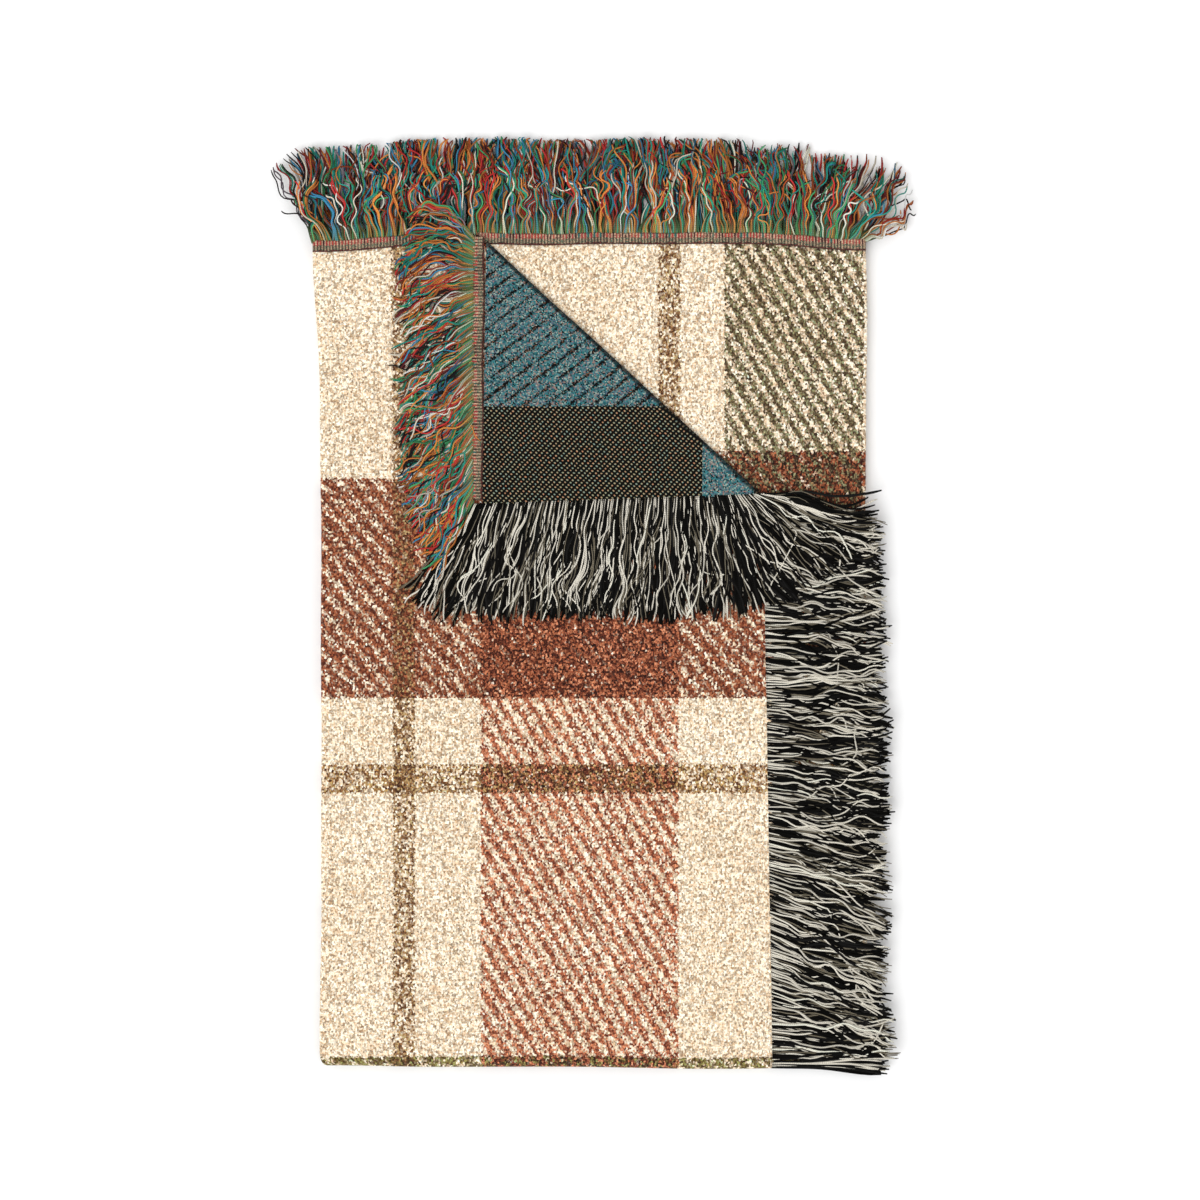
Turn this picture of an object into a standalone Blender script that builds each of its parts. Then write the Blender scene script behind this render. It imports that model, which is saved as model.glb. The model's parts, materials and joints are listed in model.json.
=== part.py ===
"""A fringed woven throw, letter-folded in thirds and then folded in half, with one corner turned down.

The cloth is one sheet that lies in six plies. Each ply is a panel with its own woven header and fringe,
and each fold is a wrap of cloth between two panels. Seen from above, the side folds run along Y at the
left and right, the half fold runs along X at the near end, and the headers and their warp fringe lie at
the far end. The top ply's corner is turned down over a diagonal crease, with its reverse side up.

Stack coordinates: X from the left side fold, Y from the half fold, Z up from the surface beneath.
World coordinates: the same axes, with the origin under the middle of the whole outline.
"""

import math

import bmesh
import bpy
from mathutils import Vector

MM = 0.001

# ---- driving dimensions -----------------------------------------------------------------------------
STACK_WIDTH = 438 * MM            # between the two side folds
STACK_LENGTH = 660 * MM           # from the half fold to the headers
PLY_THICKNESS = 2.0 * MM          # one layer of the cloth, its boucle weft included
PLY_GAP = 0.3 * MM                # air between two layers
SEAM_GAP = 0.3 * MM               # between pieces of the cloth that continue each other

LEFT_THIRD_WIDTH = 363 * MM       # the top third, from the left side fold to its free edge
LEFT_THIRD_END_WIDTH = 337 * MM   # the same at the headers, where the free edge leans in
EDGE_BEND = 370 * MM              # up to here the free edge is straight
HIDDEN_EDGE = 126 * MM            # how far the right third stops short of the left side fold

HEADER_WIDTH = 9 * MM             # the woven band between the cloth and its fringe
WARP_FRINGE_LENGTH = 77 * MM      # at the far end
WEFT_FRINGE_LENGTH = 92 * MM      # at the free edges of the two side thirds
LEFT_FLARE = 29 * MM              # how far the warp fringe fans out past the left side fold
RIGHT_FLARE = 32 * MM             # and past the right side fold
TIP_PITCH = 1.5 * MM              # the plies of warp fringe settle closer together at their tips
TIP_THICKNESS = 1.2 * MM

CREASE_INSET = 133 * MM           # along the headers, from the left side fold to the crease
CREASE_DROP = 205 * MM            # down the free edge, from the headers to the crease
FLAP_HEADER_LENGTH = 202 * MM     # from the crease to the turned corner
FLAP_HEADER_LEAN = 3 * MM         # how far that header leans to the left over its length
FLAP_WARP_FRINGE_LENGTH = 62 * MM
FLAP_WARP_FAN = 36 * MM           # how far the flap's warp fringe droops at its lower end
FLAP_WEFT_FRINGE_LENGTH = 90 * MM
FLAP_WEFT_FAN = 46 * MM           # how far the flap's weft fringe spreads to the left at its tips

WRAP_STEPS = 10                   # facets round a fold

# ---- what follows from them -------------------------------------------------------------------------
PITCH = PLY_THICKNESS + PLY_GAP
LOWER_PLIES = {"left": 0, "right": 1, "centre": 2}
UPPER_PLIES = {"left": 5, "right": 4, "centre": 3}
FLAP_PLY = 6
MIDDLE_HEIGHT = (5 * PITCH + PLY_THICKNESS) / 2
HEADER_END = STACK_LENGTH + HEADER_WIDTH
STACK_END = HEADER_END + WARP_FRINGE_LENGTH
UP = Vector((0, 0, 1))

ORIGIN = Vector(((STACK_WIDTH + RIGHT_FLARE - LEFT_FLARE) / 2, STACK_END / 2, 0))


def wrap_radius(first_ply, second_ply):
    """The outer radius of the fold that joins two plies."""
    return (abs(second_ply - first_ply) * PITCH + PLY_THICKNESS) / 2


LEFT_FOLD_RADIUS = wrap_radius(UPPER_PLIES["centre"], UPPER_PLIES["left"])
RIGHT_FOLD_RADIUS = wrap_radius(UPPER_PLIES["centre"], UPPER_PLIES["right"])
HALF_FOLD_RADIUS = wrap_radius(LOWER_PLIES["left"], UPPER_PLIES["left"])
CREASE_RADIUS = wrap_radius(UPPER_PLIES["left"], FLAP_PLY)

PANEL_START = HALF_FOLD_RADIUS + SEAM_GAP
PANEL_LEFT = LEFT_FOLD_RADIUS + SEAM_GAP
PANEL_RIGHT = STACK_WIDTH - RIGHT_FOLD_RADIUS - SEAM_GAP


def free_edge(y):
    """Where the left third's free edge lies at a distance y from the half fold."""
    lean = max(0.0, y - EDGE_BEND) / (STACK_LENGTH - EDGE_BEND)
    return LEFT_THIRD_WIDTH + lean * (LEFT_THIRD_END_WIDTH - LEFT_THIRD_WIDTH)


CREASE_TOP = Vector((CREASE_INSET, STACK_LENGTH, 0))
CREASE_FOOT = Vector((free_edge(STACK_LENGTH - CREASE_DROP), STACK_LENGTH - CREASE_DROP, 0))
CREASE_ALONG = (CREASE_TOP - CREASE_FOOT).normalized()
CREASE_INWARD = UP.cross(CREASE_ALONG)          # from the crease towards the flap
FLAP_CORNER = CREASE_TOP + Vector((-FLAP_HEADER_LEAN, -FLAP_HEADER_LENGTH, 0))


def ply_height(ply):
    """The underside of a ply."""
    return ply * PITCH


CREASE_HEIGHT = (ply_height(UPPER_PLIES["left"]) + ply_height(FLAP_PLY) + PLY_THICKNESS) / 2

# ---- materials --------------------------------------------------------------------------------------
COLOURS = {
    "cream_plaid": (0.72, 0.62, 0.46),
    "olive_plaid": (0.36, 0.29, 0.19),
    "reverse_blue": (0.10, 0.14, 0.15),
    "header_band": (0.20, 0.14, 0.10),
    "warp_yarn": (0.16, 0.13, 0.11),
    "weft_yarn": (0.35, 0.31, 0.25),
}


def fabric(name):
    """A matt cloth material."""
    material = bpy.data.materials.get(name)
    if material is None:
        material = bpy.data.materials.new(name)
        material.use_nodes = True
        shader = material.node_tree.nodes["Principled BSDF"]
        shader.inputs["Base Color"].default_value = (*COLOURS[name], 1.0)
        shader.inputs["Roughness"].default_value = 0.9
        shader.inputs["Metallic"].default_value = 0.0
    return material


# ---- building blocks --------------------------------------------------------------------------------
def empty_at(name, place, parent=None):
    """An empty at a place in stack coordinates."""
    empty = bpy.data.objects.new(name, None)
    empty["place"] = place
    empty.parent = parent
    empty.location = place - (Vector(parent["place"]) if parent else ORIGIN)
    bpy.context.scene.collection.objects.link(empty)
    return empty


def add_piece(name, shape, material, parent):
    """Turn a bmesh in stack coordinates into a named object that hangs on an empty."""
    bmesh.ops.recalc_face_normals(shape, faces=shape.faces)
    bmesh.ops.translate(shape, verts=shape.verts, vec=-Vector(parent["place"]))
    mesh = bpy.data.meshes.new(name)
    shape.to_mesh(mesh)
    shape.free()
    mesh.materials.append(fabric(material))
    piece = bpy.data.objects.new(name, mesh)
    piece.parent = parent
    bpy.context.scene.collection.objects.link(piece)
    return piece


def plate(outline, ply):
    """One ply's thickness of cloth with the given outline."""
    shape = bmesh.new()
    corners = [shape.verts.new((x, y, ply_height(ply))) for x, y in outline]
    shape.faces.new(corners)
    grown = bmesh.ops.extrude_face_region(shape, geom=list(shape.faces))
    top = [item for item in grown["geom"] if isinstance(item, bmesh.types.BMVert)]
    bmesh.ops.translate(shape, verts=top, vec=UP * PLY_THICKNESS)
    return shape


def loft(sections):
    """A closed solid through four-cornered sections."""
    shape = bmesh.new()
    rings = [[shape.verts.new(point) for point in section] for section in sections]
    for ring, following in zip(rings, rings[1:]):
        for corner in range(4):
            beside = (corner + 1) % 4
            shape.faces.new((ring[corner], ring[beside], following[beside], following[corner]))
    shape.faces.new(rings[0])
    shape.faces.new(reversed(rings[-1]))
    return shape


def wrap(start, end, outward, radius):
    """A fold: half a tube of cloth round the line from start to end, bulging outward."""
    sections = []
    for step in range(WRAP_STEPS + 1):
        angle = math.pi * (step / WRAP_STEPS - 0.5)
        spoke = outward * math.cos(angle) + UP * math.sin(angle)
        inner = spoke * (radius - PLY_THICKNESS)
        outer = spoke * radius
        sections.append((start + inner, end + inner, end + outer, start + outer))
    return loft(sections)


def fringe(roots, tips, root_height, tip_height):
    """A band of yarns from a row of root points to a row of tip points, thinner at the tips."""
    sections = []
    for root, tip in zip(roots, tips):
        sections.append((
            Vector((*root, root_height)),
            Vector((*tip, tip_height)),
            Vector((*tip, tip_height + TIP_THICKNESS)),
            Vector((*root, root_height + PLY_THICKNESS)),
        ))
    return loft(sections)


def cut_along_crease(outline, clearance):
    """The part of an outline on the flap's side of the crease."""
    def depth(point):
        return (Vector((*point, 0)) - CREASE_TOP).dot(CREASE_INWARD) - clearance

    kept = []
    for here, following in zip(outline, outline[1:] + outline[:1]):
        a, b = depth(here), depth(following)
        if a >= 0:
            kept.append(here)
        if a * b < 0:
            share = a / (a - b)
            kept.append(tuple(p + share * (q - p) for p, q in zip(here, following)))
    return kept


# ---- the two halves ---------------------------------------------------------------------------------
def panel_outline(third):
    """The flat cloth of one ply, between its folds and its free edge."""
    if third == "left":
        return [
            (PANEL_LEFT, PANEL_START),
            (free_edge(PANEL_START), PANEL_START),
            (free_edge(EDGE_BEND), EDGE_BEND),
            (free_edge(STACK_LENGTH), STACK_LENGTH),
            (PANEL_LEFT, STACK_LENGTH),
        ]
    left = HIDDEN_EDGE if third == "right" else PANEL_LEFT
    return [
        (left, PANEL_START),
        (PANEL_RIGHT, PANEL_START),
        (PANEL_RIGHT, STACK_LENGTH),
        (left, STACK_LENGTH),
    ]


def header_outline(third):
    """The woven band at the far end of one ply."""
    left = HIDDEN_EDGE if third == "right" else PANEL_LEFT
    right = free_edge(STACK_LENGTH) if third == "left" else PANEL_RIGHT
    start = STACK_LENGTH + SEAM_GAP
    return [(left, start), (right, start), (right, HEADER_END), (left, HEADER_END)]


def add_half(prefix, plies, parent, crease):
    """The three panels of one half with their side folds, headers and fringes."""
    for third, ply in plies.items():
        panel = panel_outline(third)
        header = header_outline(third)
        if crease and third == "left":
            panel = cut_along_crease(panel, SEAM_GAP / 2)
            header = cut_along_crease(header, SEAM_GAP / 2)
        add_piece(f"{prefix}_{third}_panel", plate(panel, ply), "cream_plaid", parent)
        add_piece(f"{prefix}_{third}_header", plate(header, ply), "header_band", parent)

        root = HEADER_END + SEAM_GAP
        root_left = min(x for x, y in header)
        root_right = max(x for x, y in header if y > STACK_LENGTH + HEADER_WIDTH / 2)
        tip_left = root_left if third == "right" else -LEFT_FLARE
        tip_right = root_right if third == "left" else STACK_WIDTH + RIGHT_FLARE
        yarns = fringe(
            [(root_left, root), (root_right, root)],
            [(tip_left, STACK_END), (tip_right, STACK_END)],
            ply_height(ply),
            ply * TIP_PITCH,
        )
        add_piece(f"{prefix}_{third}_warp_fringe", yarns, "warp_yarn", parent)

    add_side_fold(f"{prefix}_left_side_fold", plies["left"], plies["centre"], "left", parent)
    add_side_fold(f"{prefix}_right_side_fold", plies["right"], plies["centre"], "right", parent)
    add_left_weft_fringe(f"{prefix}_left_weft_fringe", plies["left"], parent, crease)
    add_hidden_weft_fringe(f"{prefix}_right_weft_fringe", plies["right"], parent)


def add_side_fold(name, outer_ply, centre_ply, side, parent):
    """The cloth between a side third and the centre third."""
    radius = wrap_radius(outer_ply, centre_ply)
    height = (ply_height(outer_ply) + ply_height(centre_ply) + PLY_THICKNESS) / 2
    x = radius if side == "left" else STACK_WIDTH - radius
    outward = Vector((-1 if side == "left" else 1, 0, 0))
    start = Vector((x, PANEL_START, height))
    end = Vector((x, HEADER_END, height))
    add_piece(name, wrap(start, end, outward, radius), "cream_plaid", parent)


def add_left_weft_fringe(name, ply, parent, crease):
    """The yarns along the left third's free edge, up to the crease where the corner is turned."""
    last = CREASE_FOOT.y - SEAM_GAP if crease else STACK_LENGTH
    stations = [PANEL_START] + [y for y in (EDGE_BEND,) if y < last] + [last]
    roots = [(free_edge(y) + SEAM_GAP, y) for y in stations]
    tips = [(x + WEFT_FRINGE_LENGTH, y) for x, y in roots]
    height = ply_height(ply)
    add_piece(name, fringe(roots, tips, height, height), "weft_yarn", parent)


def add_hidden_weft_fringe(name, ply, parent):
    """The yarns along the right third's free edge, inside the stack."""
    stations = (PANEL_START, STACK_LENGTH)
    roots = [(HIDDEN_EDGE - SEAM_GAP, y) for y in stations]
    tips = [(x - WEFT_FRINGE_LENGTH, y) for x, y in roots]
    height = ply_height(ply)
    add_piece(name, fringe(roots, tips, height, height), "weft_yarn", parent)


# ---- the half fold ----------------------------------------------------------------------------------
def add_half_fold(parent):
    """The nested wraps of the three thirds round the near end, with the fringe of their free edges."""
    spans = {
        "left": (PANEL_LEFT, LEFT_THIRD_WIDTH),
        "right": (HIDDEN_EDGE, PANEL_RIGHT),
        "centre": (PANEL_LEFT, PANEL_RIGHT),
    }
    fringes = {
        "left": (LEFT_THIRD_WIDTH + SEAM_GAP, LEFT_THIRD_WIDTH + WEFT_FRINGE_LENGTH),
        "right": (HIDDEN_EDGE - WEFT_FRINGE_LENGTH, HIDDEN_EDGE - SEAM_GAP),
    }
    for third, (left, right) in spans.items():
        radius = wrap_radius(LOWER_PLIES[third], UPPER_PLIES[third])
        add_piece(f"{third}_half_fold", half_wrap(left, right, radius), "olive_plaid", parent)
    for third, (left, right) in fringes.items():
        radius = wrap_radius(LOWER_PLIES[third], UPPER_PLIES[third])
        add_piece(f"{third}_half_fold_fringe", half_wrap(left, right, radius), "weft_yarn", parent)


def half_wrap(left, right, radius):
    """A wrap along X round the near end, which joins a lower ply to its upper ply."""
    start = Vector((left, HALF_FOLD_RADIUS, MIDDLE_HEIGHT))
    end = Vector((right, HALF_FOLD_RADIUS, MIDDLE_HEIGHT))
    return wrap(start, end, Vector((0, -1, 0)), radius)


# ---- the turned corner ------------------------------------------------------------------------------
def add_corner(parent, crease_parent):
    """The turned-down corner, its crease, its header and its two fringes."""
    inset = SEAM_GAP / 2
    header_run = (FLAP_CORNER - CREASE_TOP).normalized()
    header_out = header_run.cross(UP)
    edge_run = (CREASE_FOOT - FLAP_CORNER).normalized()
    edge_out = edge_run.cross(UP)

    flap = [tuple(point.xy) for point in (FLAP_CORNER, CREASE_FOOT, CREASE_TOP)]
    add_piece("corner_flap", plate(cut_along_crease(flap, inset), FLAP_PLY), "reverse_blue", parent)

    beyond = CREASE_TOP - header_run * HEADER_WIDTH * 2
    strip = [
        FLAP_CORNER + header_out * SEAM_GAP,
        beyond + header_out * SEAM_GAP,
        beyond + header_out * HEADER_WIDTH,
        FLAP_CORNER + header_out * HEADER_WIDTH,
    ]
    header = cut_along_crease([tuple(point.xy) for point in strip], inset)
    add_piece("corner_header", plate(header, FLAP_PLY), "header_band", parent)

    height = ply_height(FLAP_PLY)
    reach = header_out * (HEADER_WIDTH + SEAM_GAP)
    warp_roots = [FLAP_CORNER + reach, CREASE_TOP + reach]
    fan = [header_run * FLAP_WARP_FAN, Vector((0, 0, 0))]
    warp_tips = [p + header_out * FLAP_WARP_FRINGE_LENGTH + q for p, q in zip(warp_roots, fan)]
    yarns = fringe([p.xy for p in warp_roots], [p.xy for p in warp_tips], height, height)
    add_piece("corner_warp_fringe", yarns, "warp_yarn", parent)

    weft_roots = [FLAP_CORNER + edge_out * SEAM_GAP, CREASE_FOOT + edge_out * SEAM_GAP]
    fan = [-edge_run * FLAP_WEFT_FAN, Vector((0, 0, 0))]
    weft_tips = [p + edge_out * FLAP_WEFT_FRINGE_LENGTH + q for p, q in zip(weft_roots, fan)]
    yarns = fringe([p.xy for p in weft_roots], [p.xy for p in weft_tips], height, height)
    add_piece("corner_weft_fringe", yarns, "weft_yarn", parent)

    lift = UP * CREASE_HEIGHT
    crease = wrap(CREASE_FOOT + lift, CREASE_TOP + lift, -CREASE_INWARD, CREASE_RADIUS)
    add_piece("corner_crease", crease, "cream_plaid", crease_parent)


def main():
    for item in list(bpy.data.objects):
        bpy.data.objects.remove(item, do_unlink=True)

    stack = empty_at("stack_frame", Vector((0, 0, 0)))
    half_hinge = empty_at("half_fold_axis", Vector((0, HALF_FOLD_RADIUS, MIDDLE_HEIGHT)), stack)
    corner_hinge = empty_at("corner_turn_axis", CREASE_TOP + UP * CREASE_HEIGHT, half_hinge)

    add_half("lower", LOWER_PLIES, stack, crease=False)
    add_half_fold(stack)
    add_half("upper", UPPER_PLIES, half_hinge, crease=True)
    add_corner(corner_hinge, half_hinge)


main()
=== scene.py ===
"""Looks of a folded, fringed plaid throw with one corner turned down.

The cloth is built in stack millimetres: X from the left side fold, Y from the half fold, Z up. A place in
the folded stack is a section point (x, rise above the mid-plane) at a station along the length: flat
panels keep their station in Y, and the half fold turns the same section about the fold's axis.
"""

import json
import math

import bmesh
import bpy
import numpy as np
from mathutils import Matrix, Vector


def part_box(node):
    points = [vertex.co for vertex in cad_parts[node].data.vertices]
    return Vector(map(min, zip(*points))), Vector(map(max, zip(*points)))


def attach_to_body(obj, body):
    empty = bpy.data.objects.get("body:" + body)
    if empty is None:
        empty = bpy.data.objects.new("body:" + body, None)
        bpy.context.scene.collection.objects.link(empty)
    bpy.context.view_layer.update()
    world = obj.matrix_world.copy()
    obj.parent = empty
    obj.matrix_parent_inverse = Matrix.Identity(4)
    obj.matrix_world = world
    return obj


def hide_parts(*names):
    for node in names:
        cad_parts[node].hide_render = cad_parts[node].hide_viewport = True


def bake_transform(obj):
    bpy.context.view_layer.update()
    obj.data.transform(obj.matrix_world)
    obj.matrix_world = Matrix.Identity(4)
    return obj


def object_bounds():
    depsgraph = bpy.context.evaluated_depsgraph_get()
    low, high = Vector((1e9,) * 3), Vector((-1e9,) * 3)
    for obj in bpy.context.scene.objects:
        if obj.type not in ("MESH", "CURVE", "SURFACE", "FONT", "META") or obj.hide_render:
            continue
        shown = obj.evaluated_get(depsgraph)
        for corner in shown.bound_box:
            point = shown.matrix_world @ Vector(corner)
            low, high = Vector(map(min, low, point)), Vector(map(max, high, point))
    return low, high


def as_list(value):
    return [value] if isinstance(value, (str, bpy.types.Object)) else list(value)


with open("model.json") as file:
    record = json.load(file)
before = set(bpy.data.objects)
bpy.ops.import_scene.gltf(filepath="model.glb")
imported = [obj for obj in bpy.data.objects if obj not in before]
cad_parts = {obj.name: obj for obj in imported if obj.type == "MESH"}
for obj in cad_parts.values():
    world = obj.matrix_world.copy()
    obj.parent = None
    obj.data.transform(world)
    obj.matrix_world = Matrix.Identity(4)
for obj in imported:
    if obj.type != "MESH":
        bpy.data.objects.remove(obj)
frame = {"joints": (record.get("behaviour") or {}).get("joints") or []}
cad_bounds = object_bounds()

MM = 0.001
THIRDS = ("left", "right", "centre")
HALVES = ("lower", "upper")

# ---- the frame, in stack millimetres ----
joints = {joint["name"]: joint for joint in frame["joints"]}
ORIGIN = Vector((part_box("lower_left_side_fold")[0].x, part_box("left_half_fold")[0].y, 0.0))


def stack(place):
    """A world place in stack millimetres."""
    return (np.array(place, float) - np.array(ORIGIN)) / MM


def ends(node):
    """The low and high corners of a node's box, in stack millimetres."""
    return [stack(corner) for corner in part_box(node)]


def panel_middle(node):
    """The height of the middle of a ply."""
    low, high = ends(node)
    return (low[2] + high[2]) / 2


HINGE = stack(joints["half_fold"]["pos_m"])
HINGE_Y, MIDDLE = HINGE[1], HINGE[2]
WIDTH = ends("lower_right_side_fold")[1][0]
LENGTH = ends("upper_centre_panel")[1][1]
HEADER = ends("upper_centre_header")[1][1] - LENGTH
LEFT_EDGE = ends("left_half_fold")[1][0]
HIDDEN_EDGE = ends("upper_right_panel")[0][0]
RISE = {third: panel_middle(f"upper_{third}_panel") - MIDDLE for third in THIRDS}
LEFT_FOLD = ends("left_half_fold")[0][0]
RIGHT_FOLD = ends("right_half_fold")[1][0]
FLAP_HEIGHT = panel_middle("corner_flap")
CREASE_TOP = stack(joints["corner_turn"]["pos_m"])
CREASE_ALONG = -np.array(joints["corner_turn"]["axis"], float)
CREASE_OUT = np.array((-CREASE_ALONG[1], CREASE_ALONG[0], 0.0))
CREASE_LENGTH = 300.3
END_LEAN = LEFT_EDGE - ends("lower_left_header")[1][0]
EDGE_BEND = 370.0
FLAP_LEFT, FLAP_LOW, _ = ends("corner_flap")[0]
FLAP_RISE = 0.036
FLAP_LEAN = 0.0148
FLAP_FOOT = (FLAP_LEFT, FLAP_LOW - 4.0, 0.0)

CLOTH_THICKNESS = 1.7
TUCK = 3.4
YARN_RADIUS = 1.05
CLEAR_OF_HINGE = 1.5


def srgb(red, green, blue):
    """A display colour as linear light."""
    def linear(value):
        value /= 255
        return value / 12.92 if value < 0.04045 else ((value + 0.055) / 1.055) ** 2.4
    return (linear(red), linear(green), linear(blue), 1.0)


# ---- gentle unevenness, the same for everything in the stack ----
def smooth(value, low, high):
    """0 below low, 1 above high, smooth between."""
    share = np.clip((value - low) / (high - low), 0, 1)
    return share * share * (3 - 2 * share)


def ripple(x, y, size, seed, waves=7):
    """A smooth uneven surface, about -1 to 1, with bumps of roughly the given size."""
    rng = np.random.default_rng(seed)
    total = np.zeros(np.broadcast(x, y).shape)
    for _ in range(waves):
        angle = rng.uniform(0, 2 * math.pi)
        length = size * rng.uniform(0.7, 1.6)
        phase = rng.uniform(0, 2 * math.pi)
        total += np.sin(2 * math.pi * (x * math.cos(angle) + y * math.sin(angle)) / length + phase)
    return total / math.sqrt(waves) * 0.7


def settle(points):
    """Where a point of the ideal stack really lies: wavy header line, uneven sides, a soft crown."""
    x, y, z = points[..., 0], points[..., 1], points[..., 2]
    far = smooth(y, 470, LENGTH + 10)
    left = 1 - smooth(x, 0, 90)
    right = smooth(x, WIDTH - 110, WIDTH)
    corner = np.clip(1 - y / 14, 0, 1) ** 2
    dx = -7.5 * far ** 2 * left + 4.0 * corner * left - 1.0 * corner * right
    dx += 1.1 * ripple(0 * x, y, 150, 3) * left + 0.8 * ripple(0 * x, y, 120, 4) * right
    dy = far * (-6.5 * (1 - smooth(x, 0, 105)) - 4.5 * smooth(x, 340, WIDTH))
    dy += far * 0.8 * ripple(x, 0 * x, 90, 5) + (1 - smooth(y, 0, 120)) * 0.9 * ripple(x, 0 * x, 170, 6)
    dy += 2.6 * left * corner
    crease = (points - CREASE_TOP)[..., :2] @ CREASE_OUT[:2]
    calm = smooth(np.abs(crease), 190, 330) * smooth(y, 10, 70)
    lift = 1 + 0.055 * calm * (1 + ripple(x, y, 165, 8))
    return np.stack((x + dx, y + dy, z * lift), axis=-1)


def to_world(points):
    """Stack millimetres to world metres."""
    return np.asarray(points) * MM + np.array(ORIGIN)


# ---- node graphs ----
def operator(operation):
    """A method that adds one arithmetic node to the graph of its number."""
    return lambda self, other=0.0: self.combine(operation, self, other)


class Number:
    """A number in a node graph: plain arithmetic on it adds the nodes for it."""

    kind = "ShaderNodeMath"

    def __init__(self, graph, socket):
        self.graph = graph
        self.socket = socket

    def combine(self, operation, first, second):
        made = self.graph.node(self.kind, (first, second), operation=operation)
        return self.graph.value(made.outputs[0])

    __add__ = __radd__ = operator("ADD")
    __sub__ = operator("SUBTRACT")
    __mul__ = operator("MULTIPLY")
    __truediv__ = operator("DIVIDE")
    __gt__ = operator("GREATER_THAN")
    __lt__ = operator("LESS_THAN")
    larger = operator("MAXIMUM")
    sine = operator("SINE")
    whole = operator("FLOOR")
    size = operator("ABSOLUTE")

    def __rsub__(self, other):
        return self.combine("SUBTRACT", other, self)

    def map(self, low, high, new_low=0.0, new_high=1.0):
        """This number from low to high, turned into new_low to new_high and no further."""
        made = self.graph.node("ShaderNodeMapRange", (self, low, high, new_low, new_high), clamp=True)
        return self.graph.value(made.outputs[0])


class Triple(Number):
    """A vector or a colour in a node graph."""

    kind = "ShaderNodeVectorMath"

    def split(self):
        made = self.graph.node("ShaderNodeSeparateXYZ", (self,))
        return [self.graph.value(socket) for socket in made.outputs]


class Graph:
    """A material's node tree, with short calls for the nodes used here."""

    def __init__(self, name):
        self.material = bpy.data.materials.new(name)
        self.material.use_nodes = True
        self.tree = self.material.node_tree
        self.shader = self.tree.nodes["Principled BSDF"]

    def node(self, kind, inputs=(), **settings):
        """A node with its settings, and with its inputs wired in order or by name."""
        made = self.tree.nodes.new(kind)
        for key, setting in settings.items():
            setattr(made, key, setting)
        for key, source in inputs.items() if isinstance(inputs, dict) else enumerate(inputs):
            self.wire(source, made.inputs[key])
        return made

    def wire(self, source, socket):
        if isinstance(source, Number):
            self.tree.links.new(source.socket, socket)
        else:
            socket.default_value = source

    def value(self, socket):
        return (Number if socket.type == "VALUE" else Triple)(self, socket)

    def outputs(self, made):
        return {socket.name: self.value(socket) for socket in made.outputs}

    def mix(self, share, a, b, blend="MIX"):
        inputs = {"Factor": share, "A": a, "B": b}
        made = self.node("ShaderNodeMix", inputs, data_type="RGBA", blend_type=blend)
        return self.value(made.outputs["Result"])

    def uv(self, name):
        return self.value(self.node("ShaderNodeUVMap", uv_map=name).outputs[0])

    def noise(self, place, scale, detail=2.0, rough=0.5, dimensions="2D"):
        inputs = {"Vector": place, "Scale": scale, "Detail": detail, "Roughness": rough}
        return self.outputs(self.node("ShaderNodeTexNoise", inputs, noise_dimensions=dimensions))

    def cells(self, place, scale, randomness):
        inputs = {"Vector": place, "Scale": scale, "Randomness": randomness}
        return self.outputs(self.node("ShaderNodeTexVoronoi", inputs, voronoi_dimensions="2D", feature="F1"))

    def ramp(self, share, stops, interpolation="LINEAR"):
        made = self.node("ShaderNodeValToRGB", (share,))
        made.color_ramp.interpolation = interpolation
        points = made.color_ramp.elements
        points.remove(points[1])
        for index, (place, red, green, blue, *alpha) in enumerate(stops):
            point = points.new(place) if index else points[0]
            point.position, point.color = place, (red, green, blue, *(alpha or (1,)))
        return self.outputs(made)

    def bump(self, height, distance, strength=1.0):
        inputs = {"Strength": strength, "Distance": distance, "Height": height}
        return self.value(self.node("ShaderNodeBump", inputs).outputs[0])

    def finish(self, colour, normal, roughness=0.9, sheen=0.2, specular=0.2):
        for name, source in (
            ("Base Color", colour), ("Normal", normal), ("Roughness", roughness),
            ("Specular IOR Level", specular), ("Sheen Weight", sheen), ("Sheen Roughness", 0.6),
        ):
            self.wire(source, self.shader.inputs[name])
        return self.material


# ---- the plaid ----
CREAM = srgb(235, 221, 199)
RUST_WARP = srgb(178, 105, 76)
BROWN_WARP = srgb(152, 115, 78)
OLIVE_WARP = srgb(117, 104, 75)
RUST_WEFT = srgb(142, 77, 51)
BROWN_WEFT = srgb(156, 116, 73)
OLIVE_WEFT = srgb(124, 108, 62)

# Stripes in millimetres of the flat cloth, from the left third's free edge and from the upper header:
# where each starts and ends, its yarn, and how much of the surface that yarn takes over plain ground. The
# narrow ones, with hardly any twill rib, are marked by a share above NARROW and cover less than it says.
NARROW, NARROW_LESS = 0.85, 0.34
ACROSS = [
    (76, 229, RUST_WARP, 0.56), (284, 303, BROWN_WARP, 0.92), (510, 650, RUST_WARP, 0.56),
    (690, 710, BROWN_WARP, 0.9), (801, 914, OLIVE_WARP, 0.61), (945, 962, BROWN_WARP, 0.96),
]
ALONG = [
    (184, 360, RUST_WEFT, 0.80), (414, 438, BROWN_WEFT, 0.95), (650, 800, OLIVE_WEFT, 0.76),
    (880, 904, BROWN_WEFT, 0.95), (960, 1136, RUST_WEFT, 0.80),
]
BACK_ALONG = [(174, 212, CREAM, 1.0), (1118, 1143, CREAM, 1.0)]
CLOTH_SPAN = 1500.0


def dyes(*stops):
    """Colour ramp stops whose colours are display values."""
    return [(place, *srgb(*colour)) for place, *colour in stops]


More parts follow.
